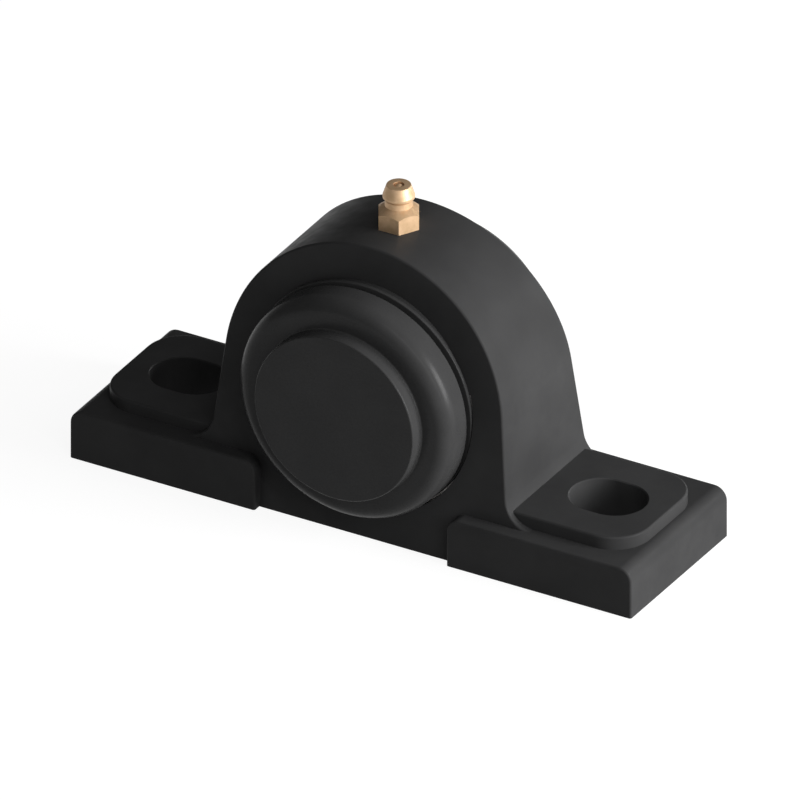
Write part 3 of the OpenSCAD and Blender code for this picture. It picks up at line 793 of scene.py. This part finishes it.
def pressed_steel():
    """Cold rolled strip after pressing: a little drawn and dull, with light scuffs."""
    steel, shader = new_finish("pressed_steel")
    shader.inputs["Metallic"].default_value = 1.0
    tint(steel, shader, grain(steel, 1.5, 4.0), (0.38, 0.37, 0.35), (0.50, 0.49, 0.46))
    vary(steel, shader, "Roughness", grain(steel, 0.5, 4.0), 0.28, 0.44)
    relief(steel, shader, (grain(steel, 0.25, 3.0), 0.004))
    return steel


PRESSED_STEEL = pressed_steel()
for name, side in (("cage_front_half", -1), ("cage_rear_half", 1)):
    half = cage_half_form(side)
    holes = around_the_balls(lambda: rod(RIVET_RADIUS + HOLE_PLAY, -2 * OVER, 2 * OVER, 24))
    finished(worked(half, holes, "DIFFERENCE"), f"pressed_{name}", "cage", [name],
             [PRESSED_STEEL])
finished(around_the_balls(rivet_form), "cage_rivet_set", "cage", ["cage_rivets"],
         [PRESSED_STEEL])

# Inner ring: bearing steel, much wider than the outer ring, because the shaft is clamped in its
# long end. Two holes for the set screws are drilled and tapped there.
INNER_RADIUS = 14.5
INNER_FRONT = -18.3
INNER_BACK = 12.7
BORE_RADIUS = 8.5
INNER_GROOVE = 0.515 * 2 * BALL_RADIUS
RING_CHAMFER = 0.5
SCREW_RADIUS = 2.48
SCREW_PLACE = -13.6
SCREW_ANGLES = (90, -30)
SCREW_HOLE_START = 2
COUNTERSINK = 0.6


def inner_ring_form():
    """The ring's profile turned once round, with the two screw holes drilled through to the bore."""
    centre = PITCH_RADIUS - BALL_RADIUS - RACE_PLAY + INNER_GROOVE
    chamfer = RING_CHAMFER
    profile = [(INNER_RADIUS - chamfer, INNER_FRONT), (INNER_RADIUS, INNER_FRONT + chamfer)]
    profile += race(centre, INNER_GROOVE, INNER_RADIUS)
    profile += [
        (INNER_RADIUS, INNER_BACK - chamfer), (INNER_RADIUS - chamfer, INNER_BACK),
        (BORE_RADIUS + chamfer, INNER_BACK), (BORE_RADIUS, INNER_BACK - chamfer),
        (BORE_RADIUS, INNER_FRONT + chamfer), (BORE_RADIUS + chamfer, INNER_FRONT)]
    form = turned(profile)
    hole_radius = SCREW_RADIUS + HOLE_PLAY
    for angle in SCREW_ANGLES:
        drill = turned([
            (0, SCREW_HOLE_START), (hole_radius, SCREW_HOLE_START),
            (hole_radius, INNER_RADIUS - COUNTERSINK / 2),
            (SCREW_RADIUS + COUNTERSINK, INNER_RADIUS + COUNTERSINK / 2),
            (SCREW_RADIUS + COUNTERSINK, CUT_CLEAR), (0, CUT_CLEAR)], 48, upright=True)
        form = worked(form, set_out(drill, SCREW_PLACE, angle), "DIFFERENCE")
    return form


finished(inner_ring_form(), "insert_inner_ring", "inner_race", ["inner_ring"],
         [GROUND_STEEL])

# Seals: on each side a thin plated steel disc is snapped into the outer ring, with nitrile rubber
# moulded on its outside and a lip that runs on the inner ring.
PLATE_BORE = 15.9
PLATE_RIM = 20.45
PLATE_INSIDE = 6.3
PLATE_OUTSIDE = 6.6
LIP_RIM = 20.15
LIP_RADIUS = 14.56
LIP_ROOT = 15.28
LIP_TIP = 5.95
RUBBER_FACE = 7.05


def zinc_plate():
    """Pressed steel with a thin bright zinc coat, slightly clouded."""
    zinc, shader = new_finish("zinc_plate")
    shader.inputs["Metallic"].default_value = 1.0
    tint(zinc, shader, grain(zinc, 2.5, 5.0), (0.46, 0.48, 0.49), (0.60, 0.61, 0.61))
    vary(zinc, shader, "Roughness", grain(zinc, 1.0, 4.0), 0.25, 0.40)
    relief(zinc, shader, (grain(zinc, 0.3), 0.003))
    return zinc


def nitrile_rubber():
    """Black moulded rubber, matt, with a fine mould texture and a grey bloom here and there."""
    rubber, shader = new_finish("nitrile_rubber")
    shader.inputs["Specular IOR Level"].default_value = 0.35
    tint(rubber, shader, grain(rubber, 4, 4.0), (0.012, 0.012, 0.012), (0.024, 0.024, 0.024))
    vary(rubber, shader, "Roughness", grain(rubber, 0.7), 0.55, 0.75)
    relief(rubber, shader, (grain(rubber, 0.25), 0.012), (grain(rubber, 1.6, 1.0), 0.01))
    return rubber


ZINC_PLATE = zinc_plate()
NITRILE_RUBBER = nitrile_rubber()
plate_section = [
    (PLATE_BORE, PLATE_INSIDE), (PLATE_RIM, PLATE_INSIDE, 0.1),
    (PLATE_RIM, PLATE_OUTSIDE, 0.1), (PLATE_BORE, PLATE_OUTSIDE)]
lip_section = [
    (LIP_RIM, PLATE_OUTSIDE), (PLATE_BORE - HOLE_PLAY, PLATE_OUTSIDE),
    (PLATE_BORE - HOLE_PLAY, PLATE_INSIDE), (LIP_RADIUS, LIP_TIP), (LIP_RADIUS, PLATE_INSIDE, 0.1),
    (LIP_ROOT, (PLATE_OUTSIDE + RUBBER_FACE) / 2, 0.3), (PLATE_BORE, RUBBER_FACE, 0.25),
    (LIP_RIM, RUBBER_FACE, 0.2)]
for end, side in (("front", -1), ("rear", 1)):
    finished(turned(eased(flipped(plate_section, side), 2)), f"{end}_seal_disc", "outer_race",
             [f"{end}_seal_plate"], [ZINC_PLATE])
    finished(turned(eased(flipped(lip_section, side), 3)), f"{end}_seal_rubber", "outer_race",
             [f"{end}_seal_lip"], [NITRILE_RUBBER])

# Slingers: a zinc plated disc pressed on each side of the inner ring, just outside the seal. It
# turns with the shaft and throws dirt and water off.
SLINGER_BORE = 14.52
SLINGER_RIM = 19.2
SLINGER_SHEET = 0.45
SLINGER_NEAR = 7.5
SLINGER_FAR = 9.3
SLINGER_BEND = 0.15

hub_outside = SLINGER_BORE + SLINGER_SHEET
disc_outside = SLINGER_NEAR + SLINGER_SHEET
angle_section = [
    (SLINGER_BORE, SLINGER_NEAR, SLINGER_SHEET + SLINGER_BEND),
    (SLINGER_RIM, SLINGER_NEAR, SLINGER_BEND), (SLINGER_RIM, disc_outside, SLINGER_BEND),
    (hub_outside, disc_outside, SLINGER_BEND),
    (hub_outside, SLINGER_FAR, 0.1), (SLINGER_BORE, SLINGER_FAR, 0.1)]
for end, side in (("front", -1), ("rear", 1)):
    finished(turned(eased(flipped(angle_section, side), 3)), f"{end}_slinger_disc", "inner_race",
             [f"{end}_slinger"], [ZINC_PLATE])

# Set screws: two, hardened and oiled black, with a hexagon socket and a cup point. They stand in
# the inner ring's long end, and clamp the shaft when they are turned in.
SCREW_TIP = 8.65
SCREW_HEAD = 13.65
THREAD_DEPTH = 0.36
THREAD_PITCH = 0.8
LEVELS_PER_PITCH = 8
SOCKET_FLATS = 2.5
SOCKET_DEPTH = 2.2


def threaded(radius, depth, pitch, low, high, steps=36):
    """An upright bar with a screw thread round it that runs out at both ends."""
    form = bmesh.new()
    count = round((high - low) / pitch * LEVELS_PER_PITCH)
    rows = []
    for level in range(count + 1):
        along = (high - low) * level / count
        from_end = min(along, high - low - along)
        row = []
        for step in range(steps):
            # The groove is a V, a third of the pitch wide, and the crest between is flat.
            phase = (along / pitch - step / steps) % 1
            crest = min(1, 3 * abs(2 * phase - 1))
            reach = min(radius - depth * (1 - crest), radius - depth + from_end)
            turn = 2 * math.pi * step / steps
            row.append(form.verts.new((reach * math.cos(turn), reach * math.sin(turn), low + along)))
        rows.append(row)
    for lower, upper in zip(rows, rows[1:]):
        add_wall(form, lower, upper)
    form.faces.new(rows[0])
    form.faces.new(rows[-1])
    bmesh.ops.triangulate(form, faces=form.faces)
    bmesh.ops.recalc_face_normals(form, faces=form.faces)
    return form


def hexagon_bar(flats, low, high):
    """An upright hexagonal bar, with two corners on the line of the X axis."""
    corners = arc((0, 0), flats / 2 / math.cos(math.radians(30)), 0, 300, 5)
    return upright_bar(corners, low, high)


def set_screw_form():
    """One screw, upright, with its point at the bottom."""
    form = threaded(SCREW_RADIUS, THREAD_DEPTH, THREAD_PITCH, SCREW_TIP, SCREW_HEAD)
    socket = hexagon_bar(SOCKET_FLATS, SCREW_HEAD - SOCKET_DEPTH, SCREW_HEAD + OVER)
    cup = turned([(0, SCREW_TIP - OVER), (SCREW_RADIUS, SCREW_TIP - OVER),
                  (0, SCREW_TIP + SCREW_RADIUS - OVER)], 36, upright=True)
    for cutter in (socket, cup):
        form = worked(form, cutter, "DIFFERENCE")
    return form


def black_oxide():
    """Hard steel with a black oxide coat, a trace of oil in the thread."""
    oxide, shader = new_finish("black_oxide")
    shader.inputs["Metallic"].default_value = 0.6
    tint(oxide, shader, grain(oxide, 1.2), (0.018, 0.018, 0.020), (0.040, 0.040, 0.044))
    vary(oxide, shader, "Roughness", grain(oxide, 0.4), 0.30, 0.46)
    relief(oxide, shader, (grain(oxide, 0.2), 0.003))
    return oxide


BLACK_OXIDE = black_oxide()
for number, angle in enumerate(SCREW_ANGLES, 1):
    finished(set_out(set_screw_form(), SCREW_PLACE, angle), f"socket_set_screw_{number}",
             "inner_race", [f"set_screw_{number}"], [BLACK_OXIDE])

# Dust covers: steel sheet pressed to shape, painted black and pushed into the housing, where a
# bead on the skirt snaps into a groove. The front one is closed, with a raised disc in the middle.
# The one at the back has a hole for the shaft and a rounder rim.
SHEET = 0.8
SKIRT_RADIUS = 22.9
SKIRT_END = 10.4
BEAD_NEAR = 11.55
BEAD_TOP = 12.0
BEAD_FAR = 12.45
BEAD_RADIUS = 23.2
FLANGE_RADIUS = 24.6
FLANGE_BACK = SPOT_FACE_PLACE
NECK_RADIUS = 23.0
FOLD_PLACE = 15.35
RIM_RADIUS = 24.3
CLOSED_ROUNDING = 3.3
OPEN_ROUNDING = 4.0
FACE_PLACE = 22.35
DISC_RADIUS = 18
DISC_PLACE = 25.6
SHAFT_HOLE_RADIUS = 13.4
BEND = 0.35
COVER_STEPS = 192


def cover_form(side, closed, rounding):
    """A cover's profile turned once round: skirt, bead, flange, neck, rounded rim and front."""
    inner = SKIRT_RADIUS - SHEET
    profile = [
        (inner, SKIRT_END, 0.15), (SKIRT_RADIUS, SKIRT_END, 0.15), (SKIRT_RADIUS, BEAD_NEAR, 0.3),
        (BEAD_RADIUS, BEAD_TOP, 0.3), (SKIRT_RADIUS, BEAD_FAR, 0.3), (SKIRT_RADIUS, FLANGE_BACK),
        (FLANGE_RADIUS, FLANGE_BACK, 0.12), (FLANGE_RADIUS, FLANGE_BACK + SHEET, 0.2),
        (NECK_RADIUS, FLANGE_BACK + SHEET, 0.2), (NECK_RADIUS, FOLD_PLACE, 0.2),
        (RIM_RADIUS, FOLD_PLACE, 0.25), (RIM_RADIUS, FACE_PLACE, rounding)]
    back = FACE_PLACE - SHEET
    if closed:
        profile += [(DISC_RADIUS, FACE_PLACE, BEND), (DISC_RADIUS, DISC_PLACE, BEND),
                    (0, DISC_PLACE), (0, DISC_PLACE - SHEET),
                    (DISC_RADIUS - SHEET, DISC_PLACE - SHEET, BEND), (DISC_RADIUS - SHEET, back, BEND)]
    else:
        profile += [(SHAFT_HOLE_RADIUS, FACE_PLACE, 0.15), (SHAFT_HOLE_RADIUS, back, 0.15)]
    profile += [
        (RIM_RADIUS - SHEET, back, rounding - SHEET),
        (RIM_RADIUS - SHEET, FOLD_PLACE + SHEET), (inner, FOLD_PLACE + SHEET, 0.4)]
    return turned(eased(flipped(profile, side), 10), COVER_STEPS)


def black_cover_paint():
    """Dull black enamel on pressed steel, with a faint orange peel."""
    paint, shader = new_finish("black_cover_paint")
    shader.inputs["Specular IOR Level"].default_value = 0.08
    tint(paint, shader, grain(paint, 9), (0.043, 0.043, 0.0434), (0.049, 0.049, 0.0494))
    vary(paint, shader, "Roughness", grain(paint, 2.2), 0.26, 0.31)
    relief(paint, shader, (grain(paint, 0.9), 0.004), (grain(paint, 4.5, 1.0), 0.008))
    return paint


BLACK_COVER_PAINT = black_cover_paint()
finished(cover_form(-1, True, CLOSED_ROUNDING), "closed_dust_cover", "housing", ["closed_cover"],
         [BLACK_COVER_PAINT])
finished(cover_form(1, False, OPEN_ROUNDING), "open_dust_cover", "housing", ["open_cover"],
         [BLACK_COVER_PAINT])

# Rubber ring of the open cover: it grips the edge of the hole on both sides of the sheet, and its
# lip leans outwards to run on the shaft.
GRIP_RADIUS = 14.7
WEB_RADIUS = 12.2
GRIP_WALL = 0.8
SHAFT_LIP_RADIUS = 8.6
SHAFT_LIP_OUTSIDE = 9.2
LIP_LEAN = 1
LIP_WIDTH = 0.6
WEB_HEIGHT = 1

outer_face = FACE_PLACE + GRIP_WALL
inner_face = FACE_PLACE - SHEET - GRIP_WALL
lip_tip = outer_face + LIP_LEAN
slot_near = FACE_PLACE - SHEET - HOLE_PLAY
slot_far = FACE_PLACE + HOLE_PLAY
slot_floor = SHAFT_HOLE_RADIUS - HOLE_PLAY
ring_section = [
    (WEB_RADIUS, inner_face, 0.35), (GRIP_RADIUS, inner_face, 0.35), (GRIP_RADIUS, slot_near, 0.1),
    (slot_floor, slot_near), (slot_floor, slot_far), (GRIP_RADIUS, slot_far, 0.1),
    (GRIP_RADIUS, outer_face, 0.35), (WEB_RADIUS, outer_face, 0.5),
    (SHAFT_LIP_OUTSIDE, lip_tip, 0.12), (SHAFT_LIP_RADIUS, lip_tip, 0.12),
    (SHAFT_LIP_RADIUS, lip_tip - LIP_WIDTH, 0.12), (WEB_RADIUS, outer_face - WEB_HEIGHT, 0.5)]
finished(turned(eased(ring_section, 4)), "open_cover_rubber_ring", "housing", ["open_cover_seal"],
         [NITRILE_RUBBER])

# Grease fitting: steel, turned and milled, plated a pale gold, and screwed into the top of the
# arch. The head takes the coupler of a grease gun.
FITTING_BASE = FITTING_SPOT_HEIGHT
HEX_FLATS = 7.94
HEX_TOP = 66.1
HEX_SLOPE = 1.3
SLOPE_TWIST = 2
STEM_RADIUS = 3.0
STEM_END = 56.1
STEM_SINK = 0.5
STEM_THREAD_DEPTH = 0.42
STEM_THREAD_PITCH = 0.9
NECK_FOOT_RADIUS = 2.8
NECK_TOP_RADIUS = 2.7
NECK_TOP = 67.4
HEAD_RADIUS = 3.2
HEAD_WIDEST_LOW = 67.9
HEAD_WIDEST_HIGH = 68.4
HEAD_TOP_RADIUS = 2.45
HEAD_TOP = 70.6
OUTLET_RADIUS = 0.8
CHAMBER_RADIUS = 1.4
CHAMBER_FLOOR = 58
CHAMBER_TOP = 69.38
FITTING_MOUTH_RADIUS = 1.1
FITTING_MOUTH_START = 70.0
FITTING_BORE_LOW = 50
FITTING_BORE_HIGH = 75


def grease_fitting_form():
    """Threaded stem, hexagon with a turned slope on top, neck and head, then the bore."""
    stem = threaded(STEM_RADIUS, STEM_THREAD_DEPTH, STEM_THREAD_PITCH, STEM_END,
                    FITTING_BASE + STEM_SINK)
    slope_foot = NECK_FOOT_RADIUS + HEX_SLOPE * (HEX_TOP - FITTING_BASE)
    slope = turned([(0, FITTING_BASE), (slope_foot, FITTING_BASE),
                    (NECK_FOOT_RADIUS, HEX_TOP), (0, HEX_TOP)], 96, upright=True)
    # Turned a little, so that no point of the slope falls on a corner of the hexagon.
    twist = Matrix.Rotation(math.radians(SLOPE_TWIST), 3, "Z")
    bmesh.ops.rotate(slope, matrix=twist, verts=slope.verts)
    hexagon = worked(hexagon_bar(HEX_FLATS, FITTING_BASE, HEX_TOP + OVER), slope, "INTERSECT")
    head = turned(eased([
        (0, HEX_TOP - OVER), (NECK_FOOT_RADIUS, HEX_TOP - OVER), (NECK_FOOT_RADIUS, HEX_TOP),
        (NECK_TOP_RADIUS, NECK_TOP, 0.3), (HEAD_RADIUS, HEAD_WIDEST_LOW, 0.15),
        (HEAD_RADIUS, HEAD_WIDEST_HIGH, 0.25), (HEAD_TOP_RADIUS, HEAD_TOP, 0.12),
        (0, HEAD_TOP)], 4), 72, upright=True)
    bore = turned([
        (0, FITTING_BORE_LOW), (OUTLET_RADIUS, FITTING_BORE_LOW), (OUTLET_RADIUS, CHAMBER_FLOOR),
        (CHAMBER_RADIUS, CHAMBER_FLOOR), (CHAMBER_RADIUS, CHAMBER_TOP),
        (FITTING_MOUTH_RADIUS, FITTING_MOUTH_START), (FITTING_MOUTH_RADIUS, FITTING_BORE_HIGH),
        (0, FITTING_BORE_HIGH)], 36, upright=True)
    form = worked(worked(stem, hexagon, "UNION"), head, "UNION")
    return worked(form, bore, "DIFFERENCE")


def pale_gold_plate():
    """Turned steel with a pale gold plating: fine tool marks, slightly uneven tone."""
    gold, shader = new_finish("pale_gold_plate")
    shader.inputs["Metallic"].default_value = 0.6
    tint(gold, shader, grain(gold, 1.4, 4.0), (0.62, 0.415, 0.235), (0.72, 0.49, 0.295))
    vary(gold, shader, "Roughness", grain(gold, 0.5, 4.0, (1, 1, 0.2)), 0.44, 0.54)
    relief(gold, shader, (grain(gold, 0.1, 2.0, (30, 30, 1)), 0.003))
    return gold


PALE_GOLD_PLATE = pale_gold_plate()
finished(grease_fitting_form(), "grease_fitting_body", "housing", ["grease_fitting"],
         [PALE_GOLD_PLATE])

# Check ball and spring: the ball closes the fitting's mouth from inside, and the spring pushes it
# there. The grease gun's pressure moves the ball down and shortens the spring.
SPRING_WIRE = 0.15
SPRING_RADIUS = 0.85
SPRING_LOW = 58.17
SPRING_HIGH = 68.05
SPRING_TURNS = 9
CLOSED_SHARE = 0.1
CLOSED_RISE = 0.02

repaint("grease_check_ball", PALE_GOLD_PLATE)


def spring_form(steps=20, sides=8):
    """Round wire wound into a spring, with a closed coil at each end."""
    form = bmesh.new()
    count = SPRING_TURNS * steps
    rings = []
    for place in range(count + 1):
        share = place / count
        rise = (share - CLOSED_SHARE) / (1 - 2 * CLOSED_SHARE)
        rise = min(1 - CLOSED_RISE * (1 - share), max(CLOSED_RISE * share, rise))
        height = SPRING_LOW + (SPRING_HIGH - SPRING_LOW) * rise
        turn = 2 * math.pi * place / steps
        ring = []
        for side in range(sides):
            around = 2 * math.pi * side / sides
            radius = SPRING_RADIUS + SPRING_WIRE * math.cos(around)
            ring.append(form.verts.new((radius * math.cos(turn), radius * math.sin(turn),
                                        height + SPRING_WIRE * math.sin(around))))
        rings.append(ring)
    for one, other in zip(rings, rings[1:]):
        add_wall(form, one, other)
    form.faces.new(rings[0])
    form.faces.new(rings[-1])
    bmesh.ops.recalc_face_normals(form, faces=form.faces)
    return form


spring = finished(spring_form(), "grease_check_spring_wire", "housing", ["grease_check_spring"],
                  [GROUND_STEEL])
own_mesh(spring)
